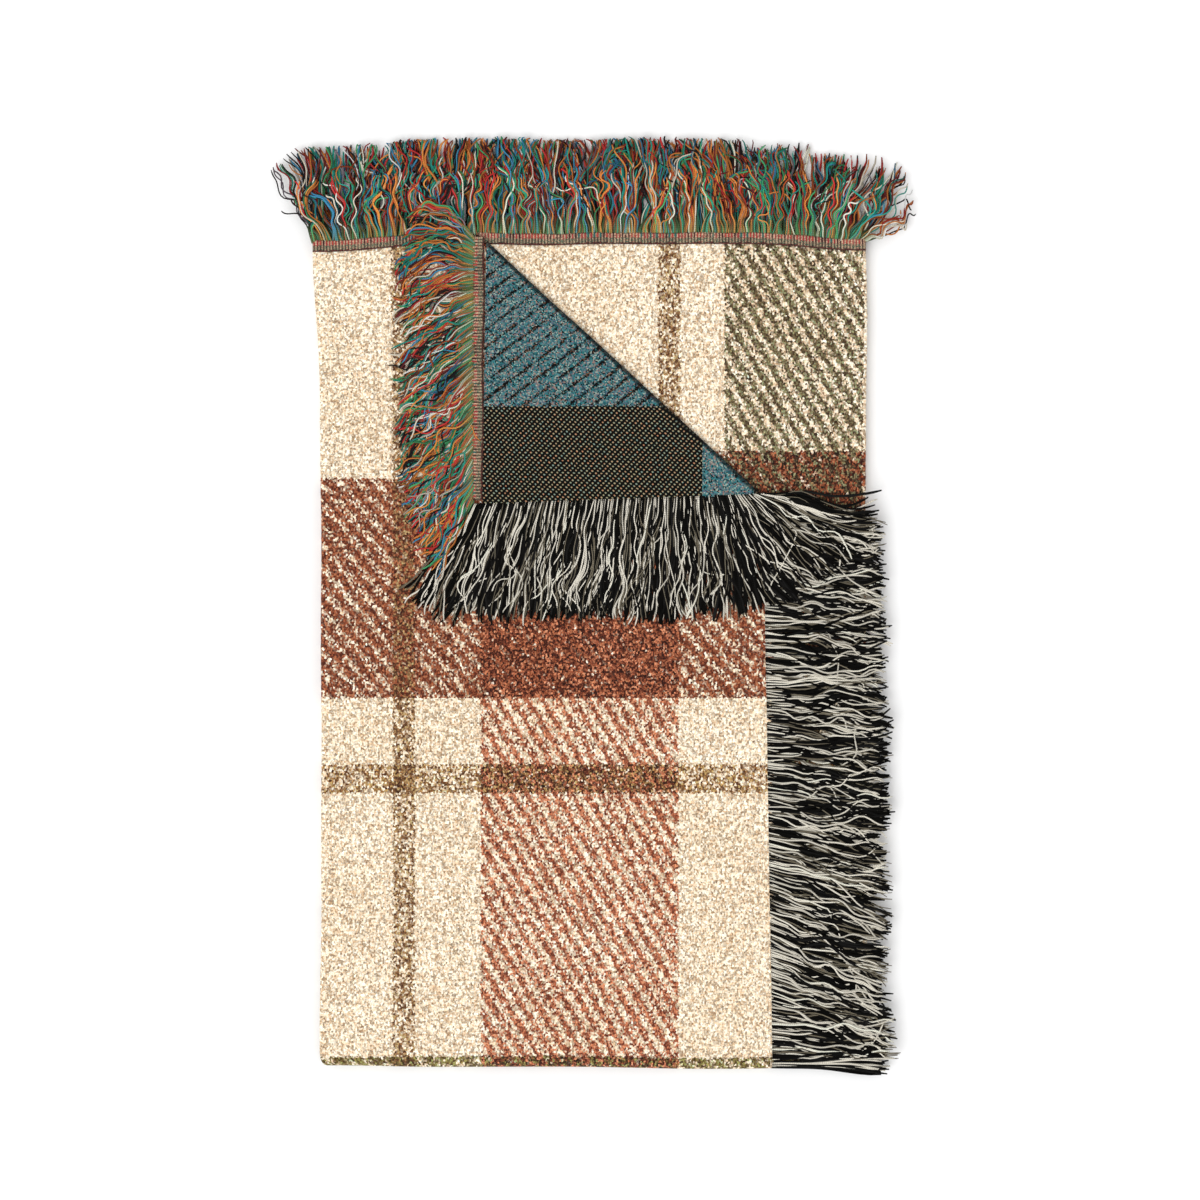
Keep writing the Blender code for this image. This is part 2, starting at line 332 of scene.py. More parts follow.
# Colour ramp stops: a place from 0 to 1, then red, green and blue.
# Painted shade: the dark ends of the next two ramps stand for the gaps between the boucle loops.
PLAIN_MOTTLE_AND_SHADE = [
    (0.0, 0.30, 0.25, 0.20), (0.25, 0.56, 0.48, 0.40), (0.5, 0.94, 0.88, 0.80), (0.72, 1.20, 1.22, 1.22),
    (1.0, 1.28, 1.36, 1.42),
]
DEEP_MOTTLE_AND_SHADE = [
    (0.0, 0.14, 0.09, 0.09), (0.28, 0.33, 0.26, 0.25), (0.5, 0.72, 0.66, 0.63), (0.70, 1.20, 1.34, 1.36),
    (0.9, 1.8, 2.6, 2.8),
]
PLAIN_HUES = [
    (0.34, 0.92, 0.98, 1.10), (0.46, 0.98, 1.00, 1.03), (0.58, 1.05, 1.0, 0.92), (0.7, 1.12, 0.98, 0.84),
]
DEEP_HUES = [
    (0.30, 0.78, 0.84, 1.15), (0.42, 0.92, 1.05, 0.95), (0.52, 0.98, 0.95, 0.96), (0.60, 1.16, 0.98, 0.90),
    (0.70, 1.30, 1.0, 0.70),
]
# Painted shade in the gaps between the loops, where coloured warp and weft cross densely.
GAP_SHADE = [
    (0.05, 0.15, 0.10, 0.11), (0.35, 0.42, 0.36, 0.36), (0.60, 0.74, 0.66, 0.64), (0.85, 1.00, 0.98, 0.98),
]
SLUBS = [
    (0.50, 1.04, 1.10, 1.18), (0.58, 1.0, 1.03, 1.05), (0.66, 1.02, 0.93, 0.84), (0.76, 0.88, 0.77, 0.70),
]
BACK_TANS = dyes((0.34, 188, 128, 96), (0.44, 170, 150, 116), (0.54, 150, 154, 122), (0.64, 124, 150, 142))
BACK_BLUES = dyes(
    (0.0, 14, 20, 22), (0.13, 40, 78, 88), (0.28, 38, 102, 106),
    (0.44, 66, 120, 126), (0.56, 94, 118, 116), (0.70, 84, 94, 110),
    (0.80, 138, 112, 104), (0.90, 146, 162, 152),
)
TICKS = dyes((0.0, 150, 44, 46), (0.34, 60, 30, 30), (0.62, 166, 62, 52), (0.86, 40, 96, 90))
BROWNS = dyes(
    (0.36, 60, 100, 84), (0.44, 104, 104, 80), (0.5, 158, 138, 110),
    (0.56, 206, 184, 154), (0.66, 132, 76, 62),
)
MID_GREY = (0.5, 0.5, 0.5)


def band_stops(stripes):
    """Colour ramp stops for stripes on cream, with each yarn's share in alpha."""
    stops = [(0.0, *CREAM[:3], 0.0)]
    for start, end, colour, share in stripes:
        stops += [(start / CLOTH_SPAN, *colour[:3], share), (end / CLOTH_SPAN, *CREAM[:3], 0.0)]
    return stops


def cloth_place(graph):
    """The place on the flat cloth in millimetres, as a vector and its two parts."""
    flat = graph.uv("cloth") * (1000.0, 1000.0, 1000.0)
    across, along, _ = flat.split()
    return flat, across, along


def twill_wave(across, along, period, slant):
    """A wave from -1 to 1 whose crests run diagonally over the cloth."""
    return ((across + along * slant) * (2 * math.pi / period)).sine()


def bands_at(graph, flat):
    """The warp and weft yarn at a place, with edges that waver by about a yarn."""
    waver = (graph.noise(flat, 0.42, detail=1.0)["Color"] - MID_GREY) * (4.0, 4.0, 0.0)
    across, along, _ = (flat + waver).split()
    warp = graph.ramp(across / CLOTH_SPAN, band_stops(ACROSS), "CONSTANT")
    weft = graph.ramp(along / CLOTH_SPAN, band_stops(ALONG), "CONSTANT")
    return warp, weft


def yarn_on_top(graph, flat, across, along, loops):
    """The colour of the uppermost yarn, how far it is a coloured one, and how densely yarns cross."""
    warp, weft = bands_at(graph, flat)
    first, second, _ = loops.split()
    clump = graph.noise(flat, 0.30, detail=1.0)["Fac"].map(0.35, 0.65, -0.22, 0.22)
    thin_warp, thin_weft = warp["Alpha"] > NARROW, weft["Alpha"] > NARROW
    thinner = clump - NARROW_LESS
    crossing = (warp["Alpha"] > 0.1) * (weft["Alpha"] > 0.1) * 0.26
    sway = 1.0 + twill_wave(across, along, 12.0, 0.62) * thin_warp.map(0.0, 1.0, 0.64, 0.12)
    counter = 1.0 - twill_wave(across, along, 14.5, 0.86) * thin_weft.map(0.0, 1.0, 0.36, 0.10)
    warp_share = (warp["Alpha"] * sway + thin_warp * thinner) * crossing.map(0.0, 0.26, 1.0, 0.78)
    weft_share = weft["Alpha"] * counter + crossing + thin_weft * thinner
    taken = (warp_share - first).map(-0.14, 0.14)
    crossed = (weft_share - second).map(-0.14, 0.14)
    colour = graph.mix(taken, graph.mix(crossed, CREAM, weft["Color"]), warp["Color"])
    return colour, taken.larger(crossed), crossing * thin_warp.map(0.0, 1.0, 3.6, 1.6)


def face_material():
    """The plaid face: boucle yarns in cream, rust, brown and olive over a twill ground."""
    graph = Graph("plaid_face")
    flat, across, along = cloth_place(graph)
    bend = (graph.noise(flat, 0.25, detail=1.0)["Color"] - MID_GREY) * (1.6, 1.6, 0.0)
    woven = (flat + bend) * (1.0, 0.84, 1.0)
    loops = graph.cells(woven, 0.70, randomness=0.65)
    colour, coloured, dense = yarn_on_top(graph, flat, across, along, loops["Color"])

    worm, tint, _ = graph.noise(woven, 0.80, rough=0.75)["Color"].split()
    level = (loops["Color"].split()[2] * 0.55 + worm).map(0.36, 1.20)
    # Painted shade: the dark ends of these ramps darken the gaps between the loops.
    plain, deep = (graph.ramp(level, shades)["Color"] for shades in (PLAIN_MOTTLE_AND_SHADE, DEEP_MOTTLE_AND_SHADE))
    colour = colour * graph.mix(coloured, plain, deep)
    # Painted shade in the gaps where coloured yarns cross densely.
    colour = graph.mix(dense, colour, graph.ramp(level, GAP_SHADE)["Color"], "MULTIPLY")
    plain, deep = (graph.ramp(tint, hues)["Color"] for hues in (PLAIN_HUES, DEEP_HUES))
    colour = colour * graph.mix(coloured, plain, deep)
    rows = graph.noise(flat * (0.22, 1.0, 1.0), 0.60, detail=1.0)["Fac"]
    columns = graph.noise(flat * (1.0, 0.22, 1.0), 0.60, detail=1.0)["Fac"]
    slub = graph.ramp(rows.larger(columns), SLUBS)["Color"]
    colour = graph.mix(coloured.map(0.0, 1.0, 1.0, 0.25), colour, colour * slub)
    drift = graph.noise(flat, 0.012, detail=3.0)["Fac"].map(0.35, 0.7, 0.0, 0.22)
    colour = graph.mix(drift, colour, srgb(232, 214, 188), "MULTIPLY")

    height = worm - loops["Distance"] * 0.7
    return graph.finish(colour, graph.bump(height, 0.0006, 0.6), roughness=0.95, sheen=0.05)


def crease_line(across, along):
    """1 on the reverse along the crease, where the cloth bends into its own shade."""
    past_crease = along * CREASE_OUT[0] + across * CREASE_OUT[1]
    reach = (CREASE_TOP[0] - FLAP_LEFT) * CREASE_OUT[0] + (CREASE_TOP[1] - FLAP_LOW) * CREASE_OUT[1]
    return past_crease.map(reach - 1.5, reach - 0.3, 0.0, 0.8) * (past_crease < reach + 4.0)


def reverse_material():
    """The dark reverse: a fine check in black and tan, slate blue behind the coloured bands."""
    graph = Graph("plaid_reverse")
    flat, across, along = cloth_place(graph)
    warp, _ = bands_at(graph, flat)
    patch = graph.ramp(along / CLOTH_SPAN, band_stops(BACK_ALONG), "CONSTANT")["Alpha"]

    check = (twill_wave(across, along, 3.2, 0.75) + 1.0) * (twill_wave(across, along, 4.9, -1.1) + 1.0)
    coarse, tone, uneven = graph.noise(flat, 0.55)["Color"].split()
    light = (check + coarse * 3.6).map(3.1, 5.2)
    black = graph.mix(light, srgb(7, 6, 5), graph.ramp(tone, BACK_TANS)["Color"])

    speck = graph.cells(flat, 1.05, randomness=0.5)["Color"].split()
    slate = graph.ramp(speck[0], BACK_BLUES, "CONSTANT")["Color"]
    dash = twill_wave(along, across, 18.3, -1.32) + ((uneven - 0.5) * 0.9 + (speck[1] - 0.5) * 0.5)
    dash = dash + graph.noise(flat, 0.11, detail=1.0)["Fac"].map(0.42, 0.62, 0.0, -0.24)
    dash = dash.map(0.66, 0.84) * (1.0 - patch)
    slate = graph.mix(dash, slate, graph.mix(speck[2] > 0.84, srgb(10, 9, 9), srgb(96, 70, 54)))

    colour = graph.mix((warp["Alpha"] > 0.1).larger(patch), black, slate)
    colour = graph.mix(crease_line(across, along), colour, srgb(12, 10, 9))
    height = check * 0.22 + coarse
    return graph.finish(colour, graph.bump(height, 0.0006, 0.8), roughness=0.92, sheen=0.03, specular=0.06)


def header_material():
    """The woven band beside the fringe: close brown ribs between red ticks and a dark line."""
    graph = Graph("header_band")
    flat, across, along = cloth_place(graph)
    rib, cross_rib = 2.5, 1.7
    luck = graph.node("ShaderNodeTexWhiteNoise", {"W": (across / rib).whole()}, noise_dimensions="1D")
    chance = graph.outputs(luck)["Value"]
    wave = (across * (2 * math.pi / rib)).sine() + (chance - 0.5) * 0.7
    flecks = graph.noise(flat, 0.9)["Color"].split()

    between = graph.mix(flecks[0].map(0.4, 0.6), srgb(206, 168, 140), srgb(120, 92, 76))
    upper = graph.mix(wave.map(-0.35, 0.35), between, graph.ramp(chance, TICKS, "CONSTANT")["Color"])
    brown = graph.ramp(flecks[1], BROWNS)["Color"]
    middle = graph.mix(wave.map(-0.4, 0.6, 0.0, 0.85), brown, srgb(50, 40, 33))
    line = graph.mix(flecks[2].map(0.42, 0.55), srgb(100, 44, 40), srgb(44, 34, 28))
    depth = along + (chance - 0.5)
    colour = graph.mix(depth.map(-5.6, -4.8), upper, middle)
    colour = graph.mix(depth.map(-1.7, -1.0), colour, line)
    height = wave + (along * (2 * math.pi / cross_rib)).sine() * 0.5
    return graph.finish(colour, graph.bump(height, 0.0004, 0.7), roughness=0.85, sheen=0.05)


def yarn_material(name, sheen, root_tint, specular):
    """Loose plied yarn: its own colour with the shading of two twisted strands, tinted near its root."""
    graph = Graph(name)
    own = graph.outputs(graph.node("ShaderNodeAttribute", attribute_name="yarn"))["Color"]
    lengthwise, around, _ = (graph.uv("twist") * (1000.0, 1.0, 1.0)).split()
    strand = ((lengthwise / 3.4 + around) * (2 * math.pi)).sine().size()
    run = graph.value(graph.node("ShaderNodeCombineXYZ", (lengthwise, around * 9.0, 0.0)).outputs[0])
    fibre = graph.noise(run, 0.9, detail=3.0)["Fac"]
    own = graph.mix(lengthwise.map(2.0, 19.0, root_tint, 0.0), own, srgb(122, 162, 100))
    colour = graph.mix(strand.map(0.0, 0.55, 0.50, 0.0), own, srgb(70, 56, 44), "MULTIPLY")
    colour = graph.mix(fibre.map(0.3, 0.75, 0.30, 0.0), colour, srgb(120, 108, 96), "MULTIPLY")
    normal = graph.bump(strand + fibre * 0.5, 0.0005, 0.8)
    return graph.finish(colour, normal, roughness=0.8, sheen=sheen, specular=specular)


FACE = face_material()
REVERSE = reverse_material()
BAND = header_material()
WARP_YARN = yarn_material("warp_yarn", 0.03, 0.48, 0.12)
WEFT_YARN = yarn_material("weft_yarn", 0.0, 0.0, 0.06)


# ---- sheets of cloth ----
def mesh_object(name, points, faces, materials):
    """A smooth-shaded mesh object from stack-millimetre points."""
    mesh = bpy.data.meshes.new(name)
    mesh.from_pydata(to_world(points).tolist(), [], faces.tolist())
    for material in materials:
        mesh.materials.append(material)
    made = bpy.data.objects.new(name, mesh)
    bpy.context.scene.collection.objects.link(made)
    mesh.shade_smooth()
    return made


def grid_faces(rows, columns):
    """Quads over a grid of points that is stored row by row."""
    row, column = np.meshgrid(np.arange(rows - 1), np.arange(columns - 1), indexing="ij")
    first = (row * columns + column).ravel()
    return np.stack((first, first + 1, first + columns + 1, first + columns), axis=1)


def pairs(first, second):
    """Two arrays, spread to the same shape, as a list of pairs."""
    return np.stack(np.broadcast_arrays(first, second), axis=-1).reshape(-1, 2)


def set_uv(mesh, name, values):
    """Store one UV pair per corner, from one pair per vertex."""
    layer = mesh.uv_layers.new(name=name)
    corners = np.empty(len(mesh.loops), np.int32)
    mesh.loops.foreach_get("vertex_index", corners)
    layer.data.foreach_set("uv", np.asarray(values, np.float32)[corners].ravel())


def free_edge(y):
    """Where the left third's free edge lies, at a distance y from the half fold."""
    return LEFT_EDGE - END_LEAN * np.clip((y - EDGE_BEND) / (LENGTH - EDGE_BEND), 0, 1)


def arc(centre_x, centre_rise, radius, start, end, steps):
    """Section points round a side fold, start and end in degrees."""
    angles = np.radians(np.linspace(start, end, steps + 1))
    return np.stack((centre_x + radius * np.cos(angles), centre_rise + radius * np.sin(angles)), axis=1)


def side_fold(third, steps=8):
    """The section of the fold between a side third and the centre third."""
    high, low = RISE[third], RISE["centre"]
    centre, radius = (high + low) / 2, (high - low) / 2
    if third == "left":
        return arc(LEFT_FOLD, centre, radius, 90, 270, steps)
    return arc(RIGHT_FOLD, centre, radius, 90, -90, steps)


def third_section(third, step):
    """A third's section from its outer edge to the centre third: (x, rise) points and flat places."""
    if third == "centre":
        count = int((RIGHT_FOLD - LEFT_FOLD) / step)
        x = np.linspace(LEFT_FOLD, RIGHT_FOLD, count + 1)
        points = np.stack((x, np.full(len(x), RISE["centre"])), axis=1)
        return points, LEFT_EDGE - LEFT_FOLD + fold_length("left") + x - LEFT_FOLD
    outer = LEFT_EDGE if third == "left" else HIDDEN_EDGE
    fold = LEFT_FOLD if third == "left" else RIGHT_FOLD
    count = int(abs(outer - fold) / step)
    x = np.linspace(outer, fold, count + 1)[:-1]
    turned = side_fold(third)
    points = np.concatenate((np.stack((x, np.full(len(x), RISE[third])), axis=1), turned))
    run = np.concatenate(((0,), np.cumsum(np.linalg.norm(np.diff(points, axis=0), axis=1))))
    if third == "left":
        return points, run
    width = LEFT_EDGE - LEFT_FOLD + fold_length("left") + RIGHT_FOLD - LEFT_FOLD + run[-1]
    return points, width - run


def fold_length(third):
    """How much cloth goes round a side fold."""
    return math.pi * (RISE[third] - RISE["centre"]) / 2


def wrap_length(third):
    """How much cloth goes round the half fold."""
    return math.pi * RISE[third]


def header_skew(third):
    """How much further the hidden thirds' pattern lies from the header than the left third's."""
    return 0.0 if third == "left" else 22.0


def flat_length_place(third, y, upper):
    """The place along the flat cloth of a panel point, from the upper header."""
    if upper:
        return LENGTH - y + header_skew(third)
    return LENGTH - HINGE_Y + wrap_length(third) + y - HINGE_Y + header_skew(third)


def crumple(points, border, seed, depth):
    """Small random unevenness of a coarse cloth, none along the piece's own borders."""
    rng = np.random.default_rng(seed)
    return points + np.stack((
        rng.normal(0, 0.10, border.shape) * border,
        rng.normal(0, 0.10, border.shape) * border,
        rng.normal(0, depth, border.shape) * border,
    ), axis=-1)


def inner_share(rows, columns):
    """1 inside a grid and 0 on its rim."""
    share = np.ones((rows, columns))
    share[0] = share[-1] = 0
    share[:, 0] = share[:, -1] = 0
    return share


def thicken(piece, rim=0):
    """Give a sheet its thickness, with the reverse material on the inner side."""
    solid = piece.modifiers.new("thickness", "SOLIDIFY")
    solid.thickness = CLOTH_THICKNESS * MM
    solid.offset = 0.0
    solid.use_rim = True
    solid.material_offset = 1
    solid.material_offset_rim = rim
    solid.use_even_offset = False


def cloth_mesh(name, points, flat, materials, flip=False):
    """A grid of points, settled, as a mesh that knows each point's place on the flat cloth."""
    faces = grid_faces(*points.shape[:2])
    if flip:
        faces = faces[:, ::-1]
    made = mesh_object(name, settle(points).reshape(-1, 3), faces, materials)
    set_uv(made.data, "cloth", pairs(*flat) * MM)
    return made


def narrowed(x, y):
    """The left third's x, drawn in where its free edge leans in."""
    return LEFT_FOLD + (x - LEFT_FOLD) * (free_edge(y) - LEFT_FOLD) / (LEFT_EDGE - LEFT_FOLD)


def panel(name, third, upper, step, seed):
    """One ply of the stack with its side fold, from the half fold to the header."""
    section, across = third_section(third, step)
    stations = np.linspace(HINGE_Y + TUCK, LENGTH, int((LENGTH - HINGE_Y - TUCK) / step) + 1)
    x, rise, place, y = np.broadcast_arrays(*section.T, across, stations[:, None])
    if third == "left":
        level = x > LEFT_FOLD
        x = np.minimum(x, narrowed(x, y))
        place = np.where(level, LEFT_EDGE - x, place)
    z = MIDDLE + rise if upper else MIDDLE - rise
    points = crumple(np.stack((x, y, z), axis=-1), inner_share(*x.shape), seed, 0.16)
    made = cloth_mesh(name, points, (place, flat_length_place(third, y, upper)), (FACE, REVERSE),
                      upper != (third == "right"))
    return made, (np.ptp(place), np.ptp(stations))


def edit(piece, change):
    """Make a change to a piece's mesh."""
    shape = bmesh.new()
    shape.from_mesh(piece.data)
    change(shape)
    shape.to_mesh(piece.data)
    shape.free()


def cut(piece, point, normal):
    """Cut away what lies beyond a vertical plane, in stack millimetres."""
    def bisect(shape):
        everything = list(shape.verts) + list(shape.edges) + list(shape.faces)
        bmesh.ops.bisect_plane(shape, geom=everything, plane_co=to_world(point), plane_no=Vector(normal),
                               clear_outer=True)

    edit(piece, bisect)


def half_wrap(name, third, step):
    """A third's cloth round the half fold, with its side of the left or right side fold."""
    section, across = third_section(third, step)
    tucks = np.linspace(TUCK, 0, 4)[:-1]
    turns = np.radians(np.linspace(90, -90, 13))
    angle = np.concatenate((np.full(3, turns[0]), turns, np.full(3, turns[-1])))
    straight = np.concatenate((tucks, np.zeros(len(turns)), tucks[::-1]))
    length = wrap_length(third)
    run = np.concatenate((-tucks, np.linspace(0, length, len(turns)), length + tucks[::-1]))
    x, rise, angle, straight = np.broadcast_arrays(*section.T, angle[:, None], straight[:, None])
    points = np.stack((x, HINGE_Y + straight - rise * np.cos(angle), MIDDLE + rise * np.sin(angle)), axis=-1)
    along = run[:, None] + LENGTH - HINGE_Y + header_skew(third)
    # Opened, the tightest wrap bends back on itself, where its hidden side would show through as a dark line.
    inside = FACE if third == "centre" else REVERSE
    made = cloth_mesh(name, points, (across, along), (FACE, inside), third == "left")
    return made, (np.ptp(across), length + 2 * TUCK)


def face_outward(piece, outward):
    """Flip a sheet whose face doesn't point along a world direction on average."""
    mesh = piece.data
    total = Vector((0, 0, 0))
    for polygon in mesh.polygons:
        total += polygon.normal * polygon.area
    if total.dot(Vector(outward)) < 0:
        mesh.flip_normals()


def attach(piece, body, slot, *nodes, cloth=None):
    """Let a piece ride on its body in place of its CAD nodes, and note the sheet that it is part of."""
    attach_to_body(piece, body)
    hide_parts(*nodes)
    if cloth:
        EXTRAS.setdefault(cloth, []).append(piece)


def attach_to_fold(piece, third, node):
    """Bake a piece's place into its mesh and hide the half fold's CAD node that it stands in for."""
    low, high = (to_world((0, HINGE_Y, MIDDLE + side * RISE[third])) for side in (-1, 1))
    tuple(low)
    tuple(high)
    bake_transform(piece)
    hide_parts(node)


SHEETS = {}
EXTRAS = {}


def lay_panels():
    """All six plies."""
    steps = {("upper", "left"): 2.7, ("upper", "right"): 2.9, ("lower", "centre"): 4.0}
    for half_index, half in enumerate(HALVES):
        upper = half == "upper"
        for third_index, third in enumerate(THIRDS):
            name = f"{half}_{third}_cloth"
            seed = 20 + 3 * half_index + third_index
            piece, flat = panel(name, third, upper, steps.get((half, third), 5.0), seed)
            face_outward(piece, (0, 0, 1) if upper != (third == "centre") else (0, 0, -1))
            if upper and third == "left":
                cut(piece, CREASE_TOP, CREASE_OUT)
            thicken(piece)
            nodes = [f"{half}_{third}_panel"]
            if third != "centre":
                nodes.append(f"{half}_{third}_side_fold")
            attach(piece, f"{half}_half", "plaid_cloth", *nodes)
            SHEETS[name] = (piece, flat)


def lay_wraps():
    """The three nested wraps of the half fold."""
    for third in THIRDS:
        piece, flat = half_wrap(f"{third}_half_fold_cloth", third, 4.0)
        face_outward(piece, (0, 1, 0) if third == "centre" else (0, -1, 0))
        thicken(piece)
        attach_to_fold(piece, third, f"{third}_half_fold")
        SHEETS[piece.name] = (piece, flat)


# ---- the turned corner ----
def lay_corner():
    """The flap with its crease: reverse up, cut to its header and its free edge."""
    radius = (FLAP_HEIGHT - MIDDLE - RISE["left"]) / 2
    turns, spread, step, spare = 7, 165.0, 2.6, 30
    angles = np.radians(np.linspace(-90, 90, turns + 1))
    flat_run = np.linspace(0, spread, int(spread / step) + 1)[1:]
    across = np.concatenate((radius * np.cos(angles), -flat_run))
    heights = np.concatenate((CREASE_TOP[2] + radius * np.sin(angles), np.full(len(flat_run), FLAP_HEIGHT)))
    unrolled = np.concatenate((radius * math.pi / 2 - radius * (angles + math.pi / 2) + radius, -flat_run))
    along = np.linspace(-spare, CREASE_LENGTH + spare, int((CREASE_LENGTH + 2 * spare) / step) + 1)
    place = CREASE_TOP * (1, 1, 0) + along[:, None, None] * CREASE_ALONG
    points = place + across[None, :, None] * CREASE_OUT
    points[..., 2] = heights[None, :]
    planar = place + unrolled[None, :, None] * CREASE_OUT
    inside = inner_share(len(along), len(across))
    inside[:, :turns + 2] = 0
    piece = cloth_mesh("corner_cloth", crumple(points, inside, 60, 0.14),
                       (planar[..., 1] - FLAP_LOW + 1.0, planar[..., 0] - FLAP_LEFT), (FACE, REVERSE))
    face_outward(piece, (0, 0, -1))
    cut(piece, (FLAP_LEFT, FLAP_LOW, 0), (-math.cos(FLAP_LEAN), math.sin(FLAP_LEAN), 0.0))
    cut(piece, FLAP_FOOT, (FLAP_RISE, -1, 0))
    thicken(piece, rim=1)
    low = to_world((0, 0, MIDDLE + RISE["left"] + 0.05))
    high = to_world((0, 0, FLAP_HEIGHT - 0.25))
    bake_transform(piece)
    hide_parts("corner_flap", "corner_crease")
    SHEETS[piece.name] = (piece, (210, 230))


# ---- header bands ----
RIB_HEIGHT, RIB_PITCH, RIB_STEP = 0.22, 2.4, 0.8


def header_section():
    """The whole width's section, from the hidden edge to the left third's free edge."""
    sections, places = [], []
    for third in ("right", "centre", "left"):
        section, across = third_section(third, RIB_STEP)
        if third != "right":
            section, across = section[::-1].copy(), across[::-1]
        if third == "left":
            level = section[:, 0] > LEFT_FOLD
            section[level, 0] = narrowed(section[level, 0], LENGTH)
        shared = 1 if sections else 0
        sections.append(section[shared:])
        places.append(across[shared:])
    return np.concatenate(sections), np.concatenate(places)


def lay_header(half):
    """A half's woven band, from the hidden edge round both side folds to the left third."""
    section, across = header_section()
    stations = np.linspace(LENGTH, LENGTH + HEADER, 9)
    rib = np.sin(2 * math.pi * across / RIB_PITCH)
    x, rise, y = np.broadcast_arrays(section[:, 0], section[:, 1] + RIB_HEIGHT * rib, stations[:, None])
    ragged = np.zeros(x.shape)
    ragged[-1] = 0.35 * rib + 0.3 * np.sin(across / 7.0)
    z = MIDDLE + rise if half == "upper" else MIDDLE - rise
    points = np.stack((x, y + ragged, z), axis=-1)
    piece = cloth_mesh(f"{half}_header_band", points, (across, LENGTH - y), (BAND,))
    if half == "upper":
        cut_header(piece)
    thicken(piece)
    nodes = (f"{half}_{third}_header" for third in THIRDS)
    attach(piece, f"{half}_half", "header_band", *nodes, cloth=f"{half}_centre_cloth")


def cut_header(piece):
    """Take away the part of the left third's band that the turned corner carries."""
    height = to_world((0, 0, MIDDLE + (RISE["left"] + RISE["right"]) / 2))[2]
    limit = Vector(to_world(CREASE_TOP))

    def on_corner(face):
        middle = face.calc_center_median()
        past = (middle - limit).dot(Vector(CREASE_OUT)) > -1.0 * MM
        return middle.z > height and past and middle.x > limit.x - 40 * MM

    def remove(shape):
        bmesh.ops.delete(shape, geom=list(filter(on_corner, shape.faces)), context="FACES")

    edit(piece, remove)


def lay_corner_header():
    """The band along the flap's left side."""
    foot = np.array((FLAP_LEFT, FLAP_LOW, FLAP_HEIGHT))
    head = np.array((CREASE_TOP[0] - 1.5, CREASE_TOP[1] + 5.0, FLAP_HEIGHT))
    run = head - foot
    total = np.linalg.norm(run)
    run /= total
    aside = np.array((-run[1], run[0], 0.0))
    lengths = np.linspace(0, total, int(total / RIB_STEP) + 1)
    widths = np.linspace(0, HEADER, 9)
    points = foot + lengths[None, :, None] * run + widths[:, None, None] * aside
    points[..., 2] += RIB_HEIGHT * np.sin(2 * math.pi * lengths / RIB_PITCH)
    points[..., 0] += 0.8 * ripple(0 * lengths, lengths, 75, 11)
    piece = cloth_mesh("corner_header_band", points, (lengths, -widths[:, None]), (BAND,))
    thicken(piece)
    attach(piece, "turned_corner", "header_band", "corner_header", cloth="corner_cloth")


# ---- fringe yarns ----
TEAL, GREEN, BLUE = srgb(40, 150, 134), srgb(70, 160, 104), srgb(64, 138, 176)
ORANGE, RUST, RED = srgb(226, 138, 66), srgb(160, 72, 36), srgb(196, 52, 52)
WINE, BLACK, WHITE, GREY = srgb(108, 34, 38), srgb(30, 25, 25), srgb(240, 230, 210), srgb(128, 116, 126)
TOP_COLOURS = (TEAL, GREEN, BLUE, ORANGE, RUST, RED, WINE, BLACK, WHITE, GREY)
FRONT_SHARES = (0.15, 0.10, 0.08, 0.20, 0.06, 0.12, 0.05, 0.16, 0.09, 0.02)
BACK_SHARES = (0.12, 0.09, 0.10, 0.17, 0.08, 0.12, 0.07, 0.16, 0.07, 0.02)
# Painted shade: the middle colour is cream yarn drawn grey, for cream yarns half hidden among the black ones.
WEFT_BLACK, WEFT_SHADED_CREAM, WEFT_CREAM = srgb(9, 8, 6), srgb(132, 124, 106), srgb(250, 244, 228)
# Painted shade: the flap's warp yarns are drawn darker, as they lie in each other's shade.
FLAP_PAINTED_SHADE = 0.87
SIDES = 6


def wander(rng, count, along, fast=2.4):
    """Smooth random curves, one for each yarn or group, about -1 to 1."""
    total = np.zeros((count, len(along)))
    for _ in range(3):
        turns = rng.uniform(0.4, fast, (count, 1))
        phase = rng.uniform(0, 2 * math.pi, (count, 1))
        total += np.sin(2 * math.pi * turns * along + phase)
    return total / 1.7


def flow(rng, position, along, spacing, fast):
    """Smooth random curves that neighbours share, about -1 to 1."""
    total = np.zeros((len(position), len(along)))
    for _ in range(5):
        turns = rng.uniform(0.5, fast)
        reach = spacing * rng.uniform(0.6, 2.2) * rng.choice((-1, 1))
        phase = rng.uniform(0, 2 * math.pi)
        total += np.sin(2 * math.pi * (position[:, None] / reach + turns * along) + phase)
    return total / 2.2


STYLE_PARTS = ("stations", "group", "sway", "shared", "own", "pull", "strays", "kinks", "spacing", "fast",
               "curl", "weave")
STYLES = {name: dict(zip(STYLE_PARTS, values)) for name, *values in (
    ("warp", 26, (4, 13), 30, 18, 6, 0.92, 0.05, 0.03, 22, 3.6, 28, 0.45),
    ("combed", 26, (5, 16), 15, 26, 6, 0.6, 0.05, 0.04, 26, 3.8, 14, 0.45),
    ("hidden", 14, (3, 9), 16, 12, 8, 0.7, 0.05, 0.0, 30, 2.4, 14, 0.45),
    ("black", 16, (3, 9), 10, 9, 6, 0.5, 0.06, 0.0, 40, 2.6, 10, 0.45),
    ("cream", 24, (1, 6), 15, 13, 9, 0.85, 0.06, 0.03, 36, 3.8, 13, 0.75),
    ("pressed", 12, (2, 5), 7, 3, 4, 0.5, 0.0, 0.0, 40, 1.5, 4, 0.45),
)}


